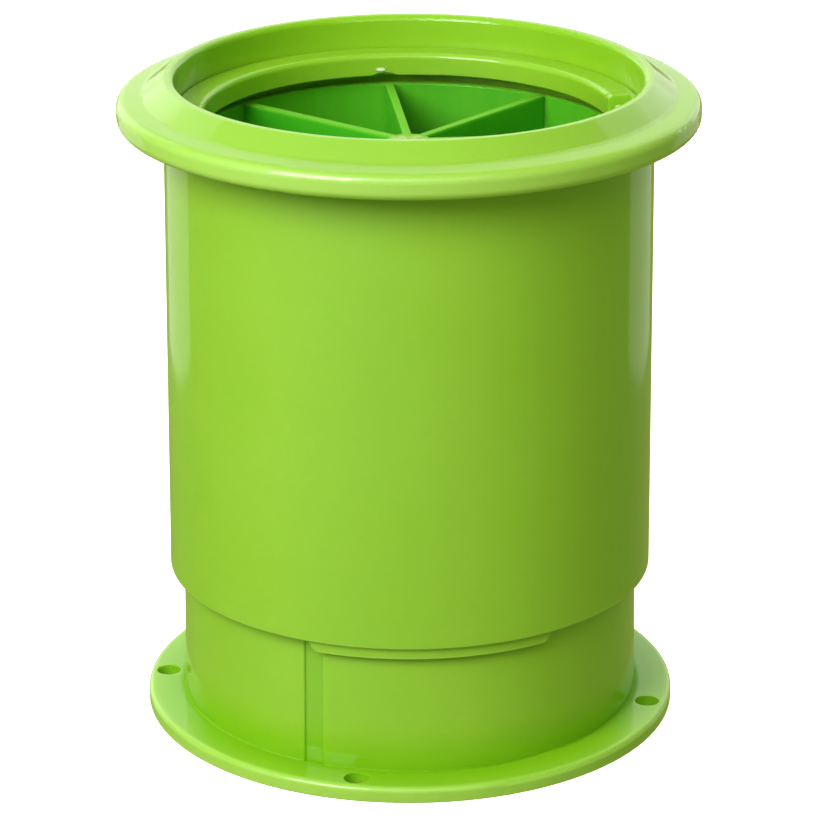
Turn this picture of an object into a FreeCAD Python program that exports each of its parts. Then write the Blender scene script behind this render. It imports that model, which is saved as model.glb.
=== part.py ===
import FreeCAD, Part
import math
import os

from FreeCAD import Vector

# Wasp trap: a sleeve with a brimmed collar slides up and down on a screw-down base tube.
# A ledge ring sits in the collar, and a star of vanes, a one-way funnel, a bait cup and a
# slotted floor drop into the tube. Millimetres, +Z up. The origin is the centre of the
# flange's underside, and -Y is the trap's front, where the sleeve's tongue is.

# ---- base tube and its screw flange ----
tube_height = 110.5
tube_bore_radius = 40.0
tube_top_wall = 1.8
tube_draft = 1.55
tube_top_rounding = 0.5
tube_foot_fillet = 0.3
flange_width = 7.05
flange_thickness = 3.0
flange_top_rounding = 1.0
flange_bottom_rounding = 0.3

screw_hole_radius = 2.3
screw_hole_bearings = (-98.2, -17.6, 69.0, 162.4)

groove_count = 3
first_groove_bearing = -29.6
groove_width = 3.6
groove_depth = 0.5
groove_flare = 0.25
groove_floor_rounding = 0.2

floor_lip_width = 2.5
floor_lip_thickness = 2.0
funnel_ledge_width = 1.6
funnel_ledge_thickness = 2.0

# ---- sleeve with its collar ----
sleeve_length = 86.5
sleeve_top_wall = 2.75
sleeve_foot_wall = 2.18
sleeve_top_clearance = 0.5
sleeve_foot_clearance = 0.5
sleeve_foot_rounding = 0.45
sleeve_inner_rounding = 0.2
shoulder_width = 0.6
ring_seat_draft = 0.15
shoulder_depth = 2.1
collar_recess_depth = 6.22
brim_overhang = 8.5
brim_thickness = 4.55
brim_top_rise = 0.65
brim_under_rounding = 1.5
brim_over_rounding = 1.8
brim_root_fillet = 0.8
lip_width = 1.9
lip_inner_rounding = 1.0
lip_outer_rounding = 0.4
lip_foot_width = 6.1
lip_foot_fillet = 2.0

tongue_span = 59.0
tongue_drop = 2.3
tongue_step = 1.0
tongue_corner_radius = 2.1
tongue_edge_rounding = 0.3

key_rib_length = 20.0
key_rib_side_clearance = 0.3
key_rib_clearance = 0.35

# ---- ledge ring in the collar ----
ring_lift_over_tube = 2.1
ring_width = 5.3
ring_thickness = 4.25
ring_clearance = 0.1
ring_edge_rounding = 1.0
ring_outer_rounding = 0.3
ring_bottom_rounding = 0.25
pocket_bearings = (-90.0, 90.0)
pocket_half_span = 8.3
pocket_web = 1.3
finger_width = 2.0
finger_slit = 0.45
gate_recess_bearing = 181.7
gate_recess_width = 5.2
gate_recess_height = 0.7

# ---- vanes ----
vane_count = 8
vane_height = 23.0
vane_thickness = 1.5
hub_radius = 4.1
hub_edge_rounding = 0.3
hub_dimple_radius = 0.5
hub_dimple_depth = 0.4
drop_in_clearance = 0.1

# ---- one-way funnel ----
funnel_rim_width = 2.9
funnel_rim_thickness = 1.5
funnel_throat_radius = 9.0
funnel_depth = 28.0
funnel_wall = 1.4
funnel_throat_rounding = 0.3
funnel_mouth_rounding = 0.5

# ---- floor grid and bait cup ----
floor_grid_thickness = 2.0
floor_slot_count = 16
floor_slot_width = 3.0
floor_slot_corner_radius = 1.35
floor_slot_rim = 3.9
floor_slot_margin = 4.8
bait_cup_radius = 21.0
bait_cup_height = 24.0
bait_cup_wall = 1.4
bait_cup_floor = 1.6
bait_cup_foot_rounding = 0.4
bait_cup_inner_rounding = 1.0
cup_locator_clearance = 0.3
cup_locator_wall = 1.4
cup_locator_height = 3.0
cup_locator_rounding = 0.3

# ---- places worked out from the sizes above ----
tube_top_radius = tube_bore_radius + tube_top_wall
tube_foot_radius = tube_top_radius + tube_draft
tube_taper = tube_draft / (tube_height - flange_thickness)
flange_radius = tube_foot_radius + flange_width
screw_circle_radius = tube_foot_radius + flange_width / 2
drop_in_radius = tube_bore_radius - drop_in_clearance

floor_grid_top = floor_lip_thickness + floor_grid_thickness
funnel_rim_top = tube_height - vane_height
funnel_rim_bottom = funnel_rim_top - funnel_rim_thickness
funnel_mouth_radius = drop_in_radius - funnel_rim_width

shoulder_height = tube_height + ring_lift_over_tube
ring_top = shoulder_height + ring_thickness
brim_underside_height = shoulder_height + shoulder_depth
brim_edge_height = brim_underside_height + brim_thickness
lip_height = ring_top + collar_recess_depth
sleeve_foot_height = brim_underside_height - sleeve_length

sleeve_top_bore = tube_top_radius + sleeve_top_clearance
sleeve_top_radius = sleeve_top_bore + sleeve_top_wall
tube_radius_in_sleeve_foot = tube_foot_radius - tube_taper * (sleeve_foot_height - flange_thickness)
sleeve_foot_bore = tube_radius_in_sleeve_foot + sleeve_foot_clearance
sleeve_foot_radius = sleeve_foot_bore + sleeve_foot_wall
lip_inner_radius = sleeve_top_bore + shoulder_width
ring_seat_foot_radius = lip_inner_radius - ring_seat_draft
brim_radius = sleeve_top_radius + brim_overhang
ring_outer_radius = lip_inner_radius - ring_clearance
ring_inner_radius = ring_outer_radius - ring_width

overshoot = 1.0
full_turn = 360.0
seam_bearing = 104.0  # where full turns start and end, clear of every groove, hole and slot
groove_bearings = [first_groove_bearing + index * full_turn / groove_count for index in range(groove_count)]
edge_share = 0.45  # rounding of a nearly half-round edge, as a share of its wall
join_tolerance = 1e-6


def tube_radius(height):
    """Outer radius of the tapered tube at a height."""
    return tube_foot_radius - tube_taper * (height - flange_thickness)


def sleeve_bore(height):
    """Inner radius of the tapered sleeve at a height under the shoulder."""
    share = (height - sleeve_foot_height) / (shoulder_height - sleeve_foot_height)
    return sleeve_foot_bore + share * (sleeve_top_bore - sleeve_foot_bore)


def point_at(bearing, radius, height):
    """Point at a bearing in degrees, counted from the front (-Y) towards +X."""
    angle = math.radians(bearing)
    return Vector(radius * math.sin(angle), -radius * math.cos(angle), height)


def turned(shape, bearing):
    """Copy of a shape made at the front, turned to a bearing."""
    copy = shape.copy()
    copy.rotate(Vector(0, 0, 0), Vector(0, 0, 1), bearing)
    return copy


def rounded_wire(corners):
    """Closed wire through (point, rounding) corners, with tangent arcs where rounding > 0."""
    starts, middles, ends = [], [], []
    for index, (here, rounding) in enumerate(corners):
        if rounding == 0:
            starts.append(here)
            middles.append(None)
            ends.append(here)
            continue
        to_last = (corners[index - 1][0] - here).normalize()
        to_next = (corners[(index + 1) % len(corners)][0] - here).normalize()
        half_angle = to_last.getAngle(to_next) / 2
        setback = rounding / math.tan(half_angle)
        inward = (to_last + to_next).normalize()
        starts.append(here + to_last * setback)
        middles.append(here + inward * (rounding / math.sin(half_angle) - rounding))
        ends.append(here + to_next * setback)
    edges = []
    for index in range(len(corners)):
        if middles[index] is not None:
            edges.append(Part.Arc(starts[index], middles[index], ends[index]).toShape())
        following = starts[(index + 1) % len(corners)]
        if ends[index].distanceToPoint(following) > join_tolerance:
            edges.append(Part.LineSegment(ends[index], following).toShape())
    return Part.Wire(edges)


def turned_solid(profile, sweep=full_turn, first_bearing=seam_bearing):
    """Solid of revolution about Z from (radius, height, rounding) corners."""
    corners = [(point_at(first_bearing, radius, height), rounding) for radius, height, rounding in profile]
    face = Part.Face(rounded_wire(corners))
    return face.revolve(Vector(0, 0, 0), Vector(0, 0, 1), sweep)


def span_degrees(width, radius):
    """Angle in degrees that a width takes up at a radius."""
    return math.degrees(width / radius)


def cylinder(radius, bottom, top):
    return Part.makeCylinder(radius, top - bottom, Vector(0, 0, bottom))


def outer_sleeve():
    """Sleeve, brim, lip and tongue in one moulding, with key ribs inside."""
    lip_outer = lip_inner_radius + lip_width
    lip_foot = lip_inner_radius + lip_foot_width
    body = turned_solid([
        (sleeve_foot_bore, sleeve_foot_height, sleeve_inner_rounding),
        (sleeve_foot_radius, sleeve_foot_height, sleeve_foot_rounding),
        (sleeve_top_radius, brim_underside_height, brim_root_fillet),
        (brim_radius, brim_underside_height, brim_under_rounding),
        (brim_radius, brim_edge_height, brim_over_rounding),
        (lip_foot, brim_edge_height + brim_top_rise, lip_foot_fillet),
        (lip_outer, lip_height, lip_outer_rounding),
        (lip_inner_radius, lip_height, lip_inner_rounding),
        (lip_inner_radius, ring_top, 0),
        (ring_seat_foot_radius, shoulder_height, 0),
        (sleeve_top_bore, shoulder_height, 0),
    ])
    body = body.fuse(tongue())
    for bearing in groove_bearings:
        body = body.fuse(turned(key_rib(), bearing))
    return body.removeSplitter()


def tongue():
    """Thin curved tongue that carries on below the sleeve's bottom edge at the front."""
    outer = sleeve_foot_radius - tongue_step
    root_height = sleeve_foot_height + sleeve_foot_wall
    tip_height = sleeve_foot_height - tongue_drop
    half_span = tongue_span / 2
    curved = turned_solid([
        (sleeve_foot_bore, tip_height, sleeve_inner_rounding),
        (outer, tip_height, tongue_edge_rounding),
        (outer, root_height, 0),
        (sleeve_foot_bore, root_height, 0),
    ], tongue_span, -half_span)
    half_width = outer * math.sin(math.radians(half_span))
    reach = outer + overshoot
    outline = [
        (Vector(-half_width, -reach, root_height + overshoot), 0),
        (Vector(half_width, -reach, root_height + overshoot), 0),
        (Vector(half_width, -reach, tip_height), tongue_corner_radius),
        (Vector(-half_width, -reach, tip_height), tongue_corner_radius),
    ]
    window = Part.Face(rounded_wire(outline)).extrude(Vector(0, reach, 0))
    return curved.common(window)


def key_rib():
    """Upright rib inside the sleeve's foot that runs in a groove of the tube."""
    bottom = sleeve_foot_height + sleeve_foot_wall
    top = bottom + key_rib_length
    groove_floor = tube_radius(bottom) - groove_depth
    inner = groove_floor + key_rib_clearance
    width = groove_width - 2 * key_rib_side_clearance
    sweep = span_degrees(width, inner)
    return turned_solid([
        (inner, bottom, 0),
        (sleeve_bore(bottom) + sleeve_foot_wall / 2, bottom, 0),
        (sleeve_bore(top) + sleeve_foot_wall / 2, top, 0),
        (inner, top, 0),
    ], sweep, -sweep / 2)


def ring_cutter(first_bearing, sweep):
    """Block that cuts through the ledge ring from its hole up to the web."""
    inside = ring_inner_radius - overshoot
    web_radius = ring_outer_radius - pocket_web
    below = shoulder_height - overshoot
    above = ring_top + overshoot
    return turned_solid([
        (inside, below, 0),
        (web_radius, below, 0),
        (web_radius, above, 0),
        (inside, above, 0),
    ], sweep, first_bearing)


def seat_ring():
    """Ledge ring on the collar's shoulder: a pocket between two slit fingers at each side."""
    ring = turned_solid([
        (ring_inner_radius, shoulder_height, ring_bottom_rounding),
        (ring_outer_radius - ring_seat_draft, shoulder_height, 0),
        (ring_outer_radius, ring_top, ring_outer_rounding),
        (ring_inner_radius, ring_top, ring_edge_rounding),
    ])
    slit_span = span_degrees(finger_slit, ring_inner_radius)
    finger_span = span_degrees(finger_width, ring_inner_radius)
    open_half_span = pocket_half_span - slit_span - finger_span
    for bearing in pocket_bearings:
        ring = ring.cut(ring_cutter(bearing - open_half_span, 2 * open_half_span))
        ring = ring.cut(ring_cutter(bearing - pocket_half_span, slit_span))
        ring = ring.cut(ring_cutter(bearing + pocket_half_span - slit_span, slit_span))
    half_width = gate_recess_width / 2
    recess_radius = (half_width ** 2 + gate_recess_height ** 2) / (2 * gate_recess_height)
    recess_bottom = shoulder_height + gate_recess_height - recess_radius
    recess_start = Vector(0, overshoot - ring_inner_radius, recess_bottom)
    recess = Part.makeCylinder(recess_radius, 2 * overshoot, recess_start, Vector(0, -1, 0))
    return ring.cut(turned(recess, gate_recess_bearing))


def base_tube():
    """Tube and screw flange in one moulding, with grooves, a ledge and a floor lip."""
    ledge_radius = tube_bore_radius - funnel_ledge_width
    ledge_bottom = funnel_rim_bottom - funnel_ledge_thickness
    floor_lip_radius = tube_bore_radius - floor_lip_width
    body = turned_solid([
        (floor_lip_radius, 0, 0),
        (flange_radius, 0, flange_bottom_rounding),
        (flange_radius, flange_thickness, flange_top_rounding),
        (tube_foot_radius, flange_thickness, tube_foot_fillet),
        (tube_top_radius, tube_height, tube_top_rounding),
        (tube_bore_radius, tube_height, tube_top_rounding),
        (tube_bore_radius, funnel_rim_bottom, 0),
        (ledge_radius, funnel_rim_bottom, 0),
        (ledge_radius, ledge_bottom, 0),
        (tube_bore_radius, ledge_bottom - funnel_ledge_width, 0),
        (tube_bore_radius, floor_lip_thickness, 0),
        (floor_lip_radius, floor_lip_thickness, 0),
    ])
    for bearing in groove_bearings:
        body = body.cut(turned(groove_cutter(), bearing))
    for bearing in screw_hole_bearings:
        place = point_at(bearing, screw_circle_radius, -overshoot)
        body = body.cut(Part.makeCylinder(screw_hole_radius, flange_thickness + 2 * overshoot, place))
    return body


def groove_section(height):
    """Outline of a groove across the tube at a height, flat-floored with flared mouth edges."""
    half_width = groove_width / 2
    floor = tube_radius(height) - groove_depth
    flare_start = tube_radius(height) - groove_flare
    outside = flare_start + groove_flare + overshoot
    flared_half_width = half_width + outside - flare_start
    return rounded_wire([
        (Vector(-half_width, -floor, height), groove_floor_rounding),
        (Vector(half_width, -floor, height), groove_floor_rounding),
        (Vector(half_width, -flare_start, height), 0),
        (Vector(flared_half_width, -outside, height), 0),
        (Vector(-flared_half_width, -outside, height), 0),
        (Vector(-half_width, -flare_start, height), 0),
    ])


def groove_cutter():
    """Shallow upright channel that follows the tube's taper down to the flange."""
    sections = [groove_section(flange_thickness), groove_section(tube_height + overshoot)]
    return Part.makeLoft(sections, True, True)


def vane_divider():
    """Star of upright vanes round a hub, standing on the funnel's rim."""
    star = turned_solid([
        (0, funnel_rim_top, 0),
        (hub_radius, funnel_rim_top, 0),
        (hub_radius, tube_height, hub_edge_rounding),
        (0, tube_height, 0),
    ])
    for index in range(vane_count):
        corner = Vector(-vane_thickness / 2, -tube_bore_radius, funnel_rim_top)
        vane = Part.makeBox(vane_thickness, tube_bore_radius, vane_height, corner)
        star = star.fuse(turned(vane, index * full_turn / vane_count))
    star = star.common(cylinder(drop_in_radius, funnel_rim_top, tube_height)).removeSplitter()
    return star.cut(cylinder(hub_dimple_radius, tube_height - hub_dimple_depth, tube_height + overshoot))


def entry_funnel():
    """Cone hung by its rim on the tube's ledge, wide mouth up and narrow throat down."""
    throat_height = funnel_rim_bottom - funnel_depth
    return turned_solid([
        (funnel_throat_radius, throat_height, funnel_throat_rounding),
        (funnel_throat_radius + funnel_wall, throat_height, funnel_throat_rounding),
        (funnel_mouth_radius + funnel_wall / 2, funnel_rim_bottom, 0),
        (drop_in_radius, funnel_rim_bottom, 0),
        (drop_in_radius, funnel_rim_top, 0),
        (funnel_mouth_radius, funnel_rim_top, funnel_mouth_rounding),
    ])


def floor_grid():
    """Slotted disc on the tube's floor lip, with a raised ring that locates the bait cup."""
    locator_inner = bait_cup_radius + cup_locator_clearance
    locator_outer = locator_inner + cup_locator_wall
    locator_top = floor_grid_top + cup_locator_height
    grid = turned_solid([
        (0, floor_lip_thickness, 0),
        (drop_in_radius, floor_lip_thickness, 0),
        (drop_in_radius, floor_grid_top, 0),
        (locator_outer, floor_grid_top, cup_locator_rounding),
        (locator_outer, locator_top, cup_locator_rounding),
        (locator_inner, locator_top, cup_locator_rounding),
        (locator_inner, floor_grid_top, 0),
        (0, floor_grid_top, 0),
    ])
    half_width = floor_slot_width / 2
    slot_inner = locator_outer + floor_slot_margin
    slot_outer = drop_in_radius - floor_slot_rim
    outline = [
        (Vector(-half_width, -slot_inner, 0), floor_slot_corner_radius),
        (Vector(half_width, -slot_inner, 0), floor_slot_corner_radius),
        (Vector(half_width, -slot_outer, 0), floor_slot_corner_radius),
        (Vector(-half_width, -slot_outer, 0), floor_slot_corner_radius),
    ]
    slot = Part.Face(rounded_wire(outline)).extrude(Vector(0, 0, floor_grid_top + overshoot))
    for index in range(floor_slot_count):
        grid = grid.cut(turned(slot, index * full_turn / floor_slot_count))
    return grid


def bait_cup():
    """Open round cup for the lure, standing inside the floor's raised ring."""
    top = floor_grid_top + bait_cup_height
    inner = bait_cup_radius - bait_cup_wall
    return turned_solid([
        (0, floor_grid_top, 0),
        (bait_cup_radius, floor_grid_top, bait_cup_foot_rounding),
        (bait_cup_radius, top, edge_share * bait_cup_wall),
        (inner, top, edge_share * bait_cup_wall),
        (inner, floor_grid_top + bait_cup_floor, bait_cup_inner_rounding),
        (0, floor_grid_top + bait_cup_floor, 0),
    ])


nodes = {
    "base_tube": base_tube,
    "outer_sleeve": outer_sleeve,
    "seat_ring": seat_ring,
    "vane_divider": vane_divider,
    "entry_funnel": entry_funnel,
    "bait_cup": bait_cup,
    "floor_grid": floor_grid,
}

os.makedirs("parts", exist_ok=True)
for name, make in nodes.items():
    shape = make()
    if len(shape.Solids) != 1 or not shape.isValid():
        raise RuntimeError("%s isn't one valid solid" % name)
    shape.Solids[0].exportStep("parts/%s.step" % name)
    print(name, "volume", round(shape.Volume / 1000, 2), "cm3", shape.BoundBox)
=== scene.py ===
import math

import bpy
from mathutils import Matrix, Vector


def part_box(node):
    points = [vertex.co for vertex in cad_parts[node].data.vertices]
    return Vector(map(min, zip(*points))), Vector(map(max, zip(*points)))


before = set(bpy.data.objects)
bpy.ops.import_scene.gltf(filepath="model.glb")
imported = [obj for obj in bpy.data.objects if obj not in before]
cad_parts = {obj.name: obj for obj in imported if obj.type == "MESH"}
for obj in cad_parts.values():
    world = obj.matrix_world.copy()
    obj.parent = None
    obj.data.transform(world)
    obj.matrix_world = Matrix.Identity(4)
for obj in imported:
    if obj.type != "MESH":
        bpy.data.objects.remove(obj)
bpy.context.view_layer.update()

# ---- camera: seen from a little to the left of the trap's front ----
camera_bearing = -5.5          # degrees from the trap's front towards +X
camera_pitch = 20.2            # degrees below the horizon
camera_roll = 0.1              # degrees
camera_distance = 0.6942
camera_target_height = 0.05761
camera_lens = 161.7            # mm on a 36 mm wide sensor


def make_camera():
    data = bpy.data.cameras.new("camera")
    data.lens = camera_lens
    data.sensor_width = 36.0
    data.clip_start, data.clip_end = 0.05, 20.0
    camera = bpy.data.objects.new("camera", data)
    bpy.context.collection.objects.link(camera)
    pitch, roll = math.radians(camera_pitch), math.radians(camera_roll)
    right = Vector((1, 0, 0))
    up = Vector((0, math.sin(pitch), math.cos(pitch)))
    back = right.cross(up)
    tilted_right = right * math.cos(roll) - up * math.sin(roll)
    tilted_up = right * math.sin(roll) + up * math.cos(roll)
    axes = Matrix((tilted_right, tilted_up, back)).transposed().to_4x4()
    place = Matrix.Translation(Vector((0, 0, camera_target_height)) + back * camera_distance)
    camera.matrix_world = Matrix.Rotation(math.radians(camera_bearing), 4, "Z") @ place @ axes
    bpy.context.scene.camera = camera


make_camera()


# ---- light: soft boxes placed by bearing from the camera's side, over a pale floor ----
light_centre = Vector((0, 0, 0.07))

# name, bearing in degrees (0 towards the camera, + to its right), elevation, distance, size, power, tint
soft_boxes = [
    ("key", 2, 44, 1.1, (0.9, 0.5), 2.7, (1.05, 1.0, 0.95)),
    ("left_front", -39, 35, 1.1, (0.6, 0.6), 13.2, (1.06, 1.0, 1.12)),
    ("back_wall", 180, 28, 1.3, (2.4, 1.5), 13.0, (1.0, 1.0, 1.0)),
    ("left_back", -140, 5, 1.0, (0.6, 0.9), 1.3, (1.0, 1.0, 1.0)),
    ("right_back", 140, 5, 1.0, (0.6, 0.9), 0.8, (1.0, 1.0, 1.0)),
]
ambient = 0.35
ambient_tint = (0.88, 1.0, 0.25, 1)


def soft_box(name, bearing, elevation, distance, size, power, tint):
    data = bpy.data.lights.new(name, "AREA")
    data.shape = "RECTANGLE"
    data.size, data.size_y = size
    data.energy = power
    data.color = tint
    turn, lift = math.radians(bearing + camera_bearing), math.radians(elevation)
    away = Vector((math.sin(turn) * math.cos(lift), -math.cos(turn) * math.cos(lift), math.sin(lift)))
    light = bpy.data.objects.new(name, data)
    light.location = light_centre + away * distance
    light.rotation_mode = "QUATERNION"
    light.rotation_quaternion = away.to_track_quat("Z", "Y")
    bpy.context.collection.objects.link(light)


def make_lights():
    for box in soft_boxes:
        soft_box(*box)
    world = bpy.data.worlds.new("studio")
    bpy.context.scene.world = world
    world.use_nodes = True
    background = world.node_tree.nodes["Background"]
    background.inputs["Color"].default_value = ambient_tint
    background.inputs["Strength"].default_value = ambient
    bpy.context.scene.view_settings.view_transform = "Standard"


def make_floor():
    bpy.ops.mesh.primitive_plane_add(size=6.0, location=(0, 0, 0))
    floor = bpy.context.object
    floor.name = "floor"
    floor.visible_diffuse = False
    floor.visible_glossy = False
    material = bpy.data.materials.new("floor_paper")
    material.use_nodes = True
    shader = material.node_tree.nodes["Principled BSDF"]
    shader.inputs["Base Color"].default_value = (0.9, 0.9, 0.9, 1)
    shader.inputs["Roughness"].default_value = 0.9
    shader.inputs["Emission Color"].default_value = (1, 1, 1, 1)
    shader.inputs["Emission Strength"].default_value = 1.0
    floor.data.materials.append(material)


make_lights()
make_floor()


# ---- materials ----
class Plastic:
    """Glossy moulded lime plastic, built up one effect at a time."""

    def __init__(self, name):
        self.material = bpy.data.materials.new(name)
        self.material.use_nodes = True
        self.tree = self.material.node_tree
        self.shader = self.tree.nodes["Principled BSDF"]
        self.shader.inputs["IOR"].default_value = 1.5
        self.shader.inputs["Specular IOR Level"].default_value = 0.9
        self.shader.inputs["Coat Weight"].default_value = 0.7
        self.shader.inputs["Coat Roughness"].default_value = 0.09
        self.shader.inputs["Subsurface Weight"].default_value = 0.45
        self.shader.inputs["Subsurface Radius"].default_value = (0.5, 1.0, 0.15)
        self.shader.inputs["Subsurface Scale"].default_value = 0.0033
        place = self.add("ShaderNodeTexCoord").outputs["Object"]
        self.place = place
        split = self.add("ShaderNodeSeparateXYZ", Vector=place)
        across = self.add("ShaderNodeCombineXYZ", X=split.outputs["X"], Y=split.outputs["Y"])
        radius = self.add("ShaderNodeVectorMath", {"operation": "LENGTH"}, Vector=across.outputs["Vector"])
        self.radius = radius.outputs["Value"]
        self.height = split.outputs["Z"]
        rings = self.add("ShaderNodeCombineXYZ", X=self.radius, Y=self.height)
        self.ring_place = rings.outputs["Vector"]
        self.colour = None
        self.normal = None

    def add(self, kind, settings=None, **inputs):
        node = self.tree.nodes.new(kind)
        for key, value in (settings or {}).items():
            setattr(node, key, value)
        for key, value in inputs.items():
            self.set(node.inputs[key.replace("_", " ")], value)
        return node

    def set(self, socket, value):
        if isinstance(value, bpy.types.NodeSocket):
            self.tree.links.new(value, socket)
        else:
            socket.default_value = value

    def maths(self, operation, *values):
        node = self.add("ShaderNodeMath", {"operation": operation})
        for socket, value in zip(node.inputs, values):
            self.set(socket, value)
        return node.outputs["Value"]

    def distance(self, place, point):
        node = self.add("ShaderNodeVectorMath", {"operation": "DISTANCE"})
        self.set(node.inputs[0], place)
        self.set(node.inputs[1], point)
        return node.outputs["Value"]

    def noise(self, scale, detail=2.0, stretch=None, place=None):
        vector = place or self.place
        if stretch:
            vector = self.add("ShaderNodeMapping", Vector=vector, Scale=stretch).outputs["Vector"]
        node = self.add("ShaderNodeTexNoise", Vector=vector, Scale=scale, Detail=detail)
        return node.outputs["Fac"]

    def span(self, value, low, high, from_low=0.3, from_high=0.7):
        node = self.add("ShaderNodeMapRange", Value=value)
        node.inputs["From Min"].default_value = from_low
        node.inputs["From Max"].default_value = from_high
        node.inputs["To Min"].default_value = low
        node.inputs["To Max"].default_value = high
        return node.outputs["Result"]

    def blend_colour(self, share, first, second):
        node = self.add("ShaderNodeMix", {"data_type": "RGBA"})
        self.set(node.inputs[0], share)
        self.set(node.inputs[6], first)
        self.set(node.inputs[7], second)
        return node.outputs[2]

    def bump(self, height, distance, strength=1.0):
        node = self.add("ShaderNodeBump", Height=height, Distance=distance, Strength=strength)
        if self.normal:
            self.set(node.inputs["Normal"], self.normal)
        self.normal = node.outputs["Normal"]

    def finish(self, roughness):
        self.set(self.shader.inputs["Base Color"], self.colour)
        self.set(self.shader.inputs["Roughness"], roughness)
        self.set(self.shader.inputs["Normal"], self.normal)
        return self.material


lime = (0.235, 0.500, 0.010, 1)
lime_deep = (0.215, 0.480, 0.007, 1)
lime_pale = (0.255, 0.520, 0.013, 1)
# painted shade: deeper lime for the inside of the tube and the pieces in it, standing for light bounced
# between the walls
lime_painted_shade_inside = (0.030, 0.370, 0.001, 1)
lime_painted_shade_inside_pale = (0.045, 0.400, 0.002, 1)
# painted light: paler lime on the vanes' top edges
lime_painted_lit_vane_top = (0.130, 0.480, 0.020, 1)
# painted light: pale lime for thin edges, standing for light passing through them
lime_painted_edge_glow = (0.340, 0.600, 0.090, 1)
# painted shade: deeper lime for the groove floors and the tube's foot, there also a painted reflection of
# the flange
lime_painted_shade_hollow = (0.155, 0.425, 0.002, 1)
gate_pale = (0.420, 0.640, 0.210, 1)
# pale tone of a torn gate mark, pale enough to be a painted glint as well
torn_and_glint_pale = (0.720, 0.860, 0.520, 1)


def moulded(name, tones=(lime_deep, lime_pale)):
    """The lime plastic that every piece shares: flow marks, fine grain and a soft ripple."""
    plastic = Plastic(name)
    flow = plastic.noise(22.0, 3.0, stretch=(1.0, 1.0, 0.35))
    tone = plastic.blend_colour(plastic.span(flow, 0.0, 1.0), *tones)
    speck = plastic.noise(1400.0, 1.0)
    plastic.colour = plastic.blend_colour(plastic.span(speck, 0.0, 0.3), tone, tones[0])
    plastic.bump(plastic.noise(75.0, 1.0), 0.00003)
    plastic.bump(plastic.noise(900.0, 2.0, place=plastic.ring_place), 0.000005)
    plastic.bump(plastic.noise(1900.0, 2.0), 0.000004)
    return plastic


def gloss(plastic, low=0.60, high=0.72):
    """Blotchy roughness under the clear coat."""
    return plastic.span(plastic.noise(60.0, 4.0), low, high)


def painted_edge_glow(plastic, radius):
    """Uneven paler tone on a rim's thin edge, which stands for light passing through it."""
    uneven = plastic.maths("MULTIPLY_ADD", plastic.noise(90.0, 3.0), 0.0006, plastic.radius)
    share = plastic.span(uneven, 0.0, 0.8, radius - 0.0012, radius + 0.0003)
    plastic.colour = plastic.blend_colour(share, plastic.colour, lime_painted_edge_glow)


# places that the finishes follow, in metres: from the pieces' own boxes where a box gives them,
# and otherwise the CAD's sizes written again
tube_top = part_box("vane_divider")[1][2]
tube_bore = 0.040
brim_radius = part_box("outer_sleeve")[1][0]
flange_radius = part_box("base_tube")[1][0]
flange_top = 0.003
tube_foot_radius = 0.04335
tube_taper = 0.00155 / 0.1075   # draft over the height above the flange
brim_underside = 0.1147
hub_radius = 0.0041
sleeve_foot = 0.0282
tongue_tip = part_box("outer_sleeve")[0][2]
tongue_radius = 0.0447
lip_inner_radius = 0.0429
ring_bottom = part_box("seat_ring")[0][2]
# where the ring's gate mark and its painted glint sit
gate_mark_and_glint_place = Vector((-0.0018, 0.0374, ring_bottom + 0.0012))
gate_mark_and_glint_squash = Vector((1.0, 0.4, 2.2))   # wide and low on the ring's inner wall


def outer_sleeve_finish():
    """Sleeve with faint mould rings on the brim, pale thin edges as painted light, and less haze inside.
    """
    plastic = moulded("sleeve_plastic")
    rings = plastic.noise(420.0, 3.0, place=plastic.ring_place)
    above_sleeve = plastic.span(plastic.height, 0.0, 1.0, brim_underside - 0.0012, brim_underside + 0.0018)
    plastic.bump(plastic.maths("MULTIPLY", rings, above_sleeve), 0.00002)
    # painted light on the brim's thin outer edge
    painted_edge_glow(plastic, brim_radius)
    haze = plastic.span(plastic.radius, 0.25, 0.9, lip_inner_radius + 0.0004, lip_inner_radius + 0.0012)
    plastic.set(plastic.shader.inputs["Specular IOR Level"], haze)
    # painted light: pale lines along the tongue's tip and the sleeve's foot, standing for light passing
    # through those thin edges
    outside = plastic.span(plastic.radius, 0.0, 1.0, tongue_radius - 0.0006, tongue_radius - 0.0002)
    for edge_height in (tongue_tip, sleeve_foot):
        from_edge = plastic.maths("ABSOLUTE", plastic.maths("SUBTRACT", plastic.height, edge_height))
        line = plastic.span(from_edge, 0.85, 0.0, 0.00015, 0.00055)
        share = plastic.maths("MULTIPLY", line, outside)
        plastic.colour = plastic.blend_colour(share, plastic.colour, lime_painted_edge_glow)
    return plastic.finish(gloss(plastic))


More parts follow.
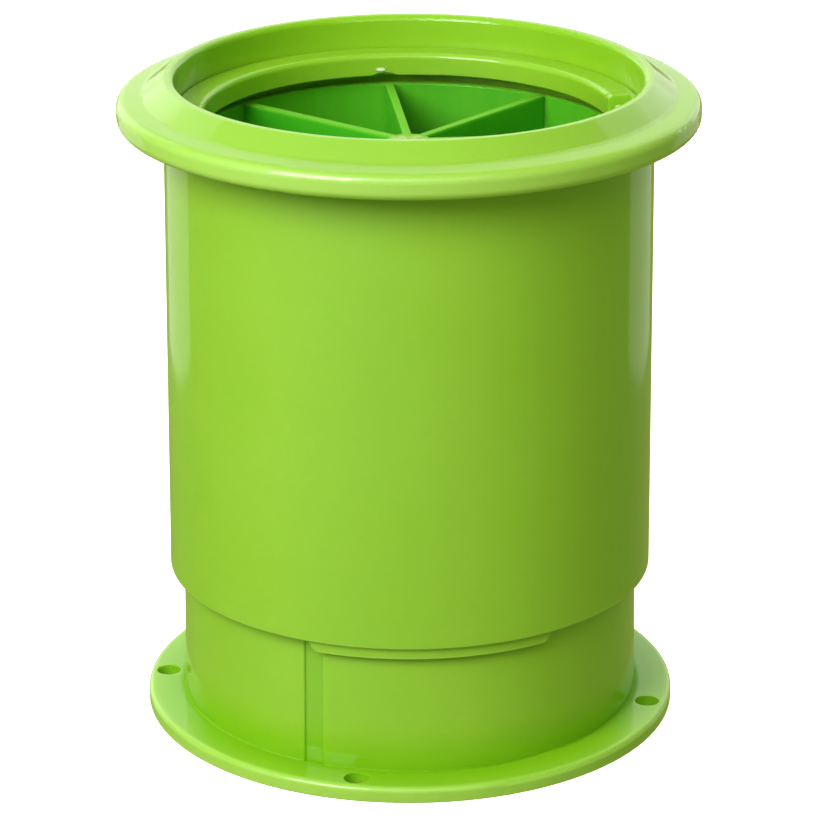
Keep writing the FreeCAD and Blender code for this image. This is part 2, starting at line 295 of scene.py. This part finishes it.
def base_tube_finish():
    """Tube with upright sliding marks, and painted shade as deeper tones inside, in the grooves and at its
    foot, where the foot's tone is also a painted reflection of the flange.
    """
    plastic = moulded("tube_plastic")
    # painted shade: deeper tone over the tube's inside
    outside = plastic.span(plastic.radius, 0.0, 1.0, tube_bore - 0.0002, tube_bore + 0.0015)
    marks = plastic.noise(260.0, 3.0, stretch=(1.0, 1.0, 0.02))
    inside = plastic.blend_colour(plastic.span(marks, 0.0, 1.0), lime_painted_shade_inside, lime_painted_shade_inside_pale)
    plastic.colour = plastic.blend_colour(outside, inside, plastic.colour)
    plastic.bump(plastic.noise(700.0, 2.0, stretch=(1.0, 1.0, 0.015)), 0.000006)
    # painted light on the flange's thin outer edge
    painted_edge_glow(plastic, flange_radius)
    # painted shade at the tube's foot, also a painted reflection of the flange in the tube
    from_foot = plastic.distance(plastic.ring_place, (tube_foot_radius, flange_top, 0))
    uneven = plastic.maths("MULTIPLY_ADD", plastic.noise(120.0, 3.0), 0.002, from_foot)
    corner = plastic.span(uneven, 0.85, 0.0, 0.0016, 0.0085)
    plastic.colour = plastic.blend_colour(corner, plastic.colour, lime_painted_shade_hollow)
    # painted shade on the floors of the tube's grooves
    untapered = plastic.maths("MULTIPLY_ADD", plastic.height, tube_taper, plastic.radius)
    wall = tube_foot_radius + tube_taper * flange_top
    under_wall = plastic.span(untapered, 0.6, 0.0, wall - 0.0004, wall - 0.0001)
    groove = plastic.maths("MULTIPLY", under_wall, outside)
    plastic.colour = plastic.blend_colour(groove, plastic.colour, lime_painted_shade_hollow)
    dull_inside = plastic.span(outside, 0.3, 1.0, 0.0, 1.0)
    coat = plastic.maths("MULTIPLY", plastic.span(from_foot, 0.0, 0.7, 0.0003, 0.0012), dull_inside)
    plastic.set(plastic.shader.inputs["Coat Weight"], coat)
    haze = plastic.maths("MULTIPLY", plastic.span(from_foot, 0.15, 0.9, 0.003, 0.010), dull_inside)
    plastic.set(plastic.shader.inputs["Specular IOR Level"], haze)
    return plastic.finish(gloss(plastic))


def vane_finish():
    """Vanes: painted light on the pale top edges over painted shade on the deeper faces, and a rough pale
    gate mark on the hub.
    """
    # painted shade: the vanes take the deeper inside tone
    plastic = moulded("vane_plastic", (lime_painted_shade_inside, lime_painted_shade_inside_pale))
    plastic.shader.inputs["Specular IOR Level"].default_value = 0.3
    plastic.shader.inputs["Coat Weight"].default_value = 0.25
    # painted light: paler top edges of the vanes
    depth = plastic.span(plastic.height, 0.0, 1.0, tube_top - 0.0007, tube_top - 0.0001)
    plastic.colour = plastic.blend_colour(depth, plastic.colour, lime_painted_lit_vane_top)
    crumbs = plastic.noise(900.0, 4.0)
    ragged = plastic.maths("MULTIPLY_ADD", plastic.noise(500.0, 3.0), 0.0016, plastic.radius)
    hub = plastic.span(ragged, 1.0, 0.0, hub_radius - 0.0005, hub_radius + 0.0007)
    gate = plastic.maths("MULTIPLY", hub, depth)
    speckle = plastic.blend_colour(plastic.span(crumbs, 0.0, 1.0, 0.42, 0.58), lime, gate_pale)
    plastic.colour = plastic.blend_colour(gate, plastic.colour, speckle)
    plastic.bump(plastic.maths("MULTIPLY", crumbs, gate), 0.0006)
    return plastic.finish(gloss(plastic))


def seat_ring_finish():
    """Ledge ring with a small torn gate mark on its inner wall, over the gate recess, painted pale enough
    to be a painted glint as well.
    """
    plastic = moulded("ring_plastic")
    plastic.shader.inputs["Specular IOR Level"].default_value = 0.45
    flattened = plastic.add("ShaderNodeVectorMath", {"operation": "MULTIPLY"})
    plastic.set(flattened.inputs[0], plastic.place)
    flattened.inputs[1].default_value = gate_mark_and_glint_squash
    apart = plastic.distance(flattened.outputs["Vector"], gate_mark_and_glint_place * gate_mark_and_glint_squash)
    ragged = plastic.maths("MULTIPLY_ADD", plastic.noise(1500.0, 3.0), 0.0006, apart)
    mark = plastic.span(ragged, 1.0, 0.0, 0.0010, 0.0014)
    # the gate mark painted pale, which is also a painted glint
    plastic.colour = plastic.blend_colour(mark, plastic.colour, torn_and_glint_pale)
    plastic.bump(mark, 0.0003)
    return plastic.finish(gloss(plastic, 0.56, 0.68))


def inner_finish(name):
    """Deeper tone on the pieces inside the tube as painted shade, and less haze."""
    plastic = moulded(name + "_plastic", (lime_painted_shade_inside, lime_painted_shade_inside_pale))
    plastic.shader.inputs["Specular IOR Level"].default_value = 0.4
    return plastic.finish(gloss(plastic, 0.62, 0.74))


def dress(name, material):
    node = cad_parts[name]
    for slot in node.material_slots:
        slot.material = material


dress("outer_sleeve", outer_sleeve_finish())
dress("seat_ring", seat_ring_finish())
dress("base_tube", base_tube_finish())
dress("vane_divider", vane_finish())
for inner in ("entry_funnel", "bait_cup", "floor_grid"):
    dress(inner, inner_finish(inner))
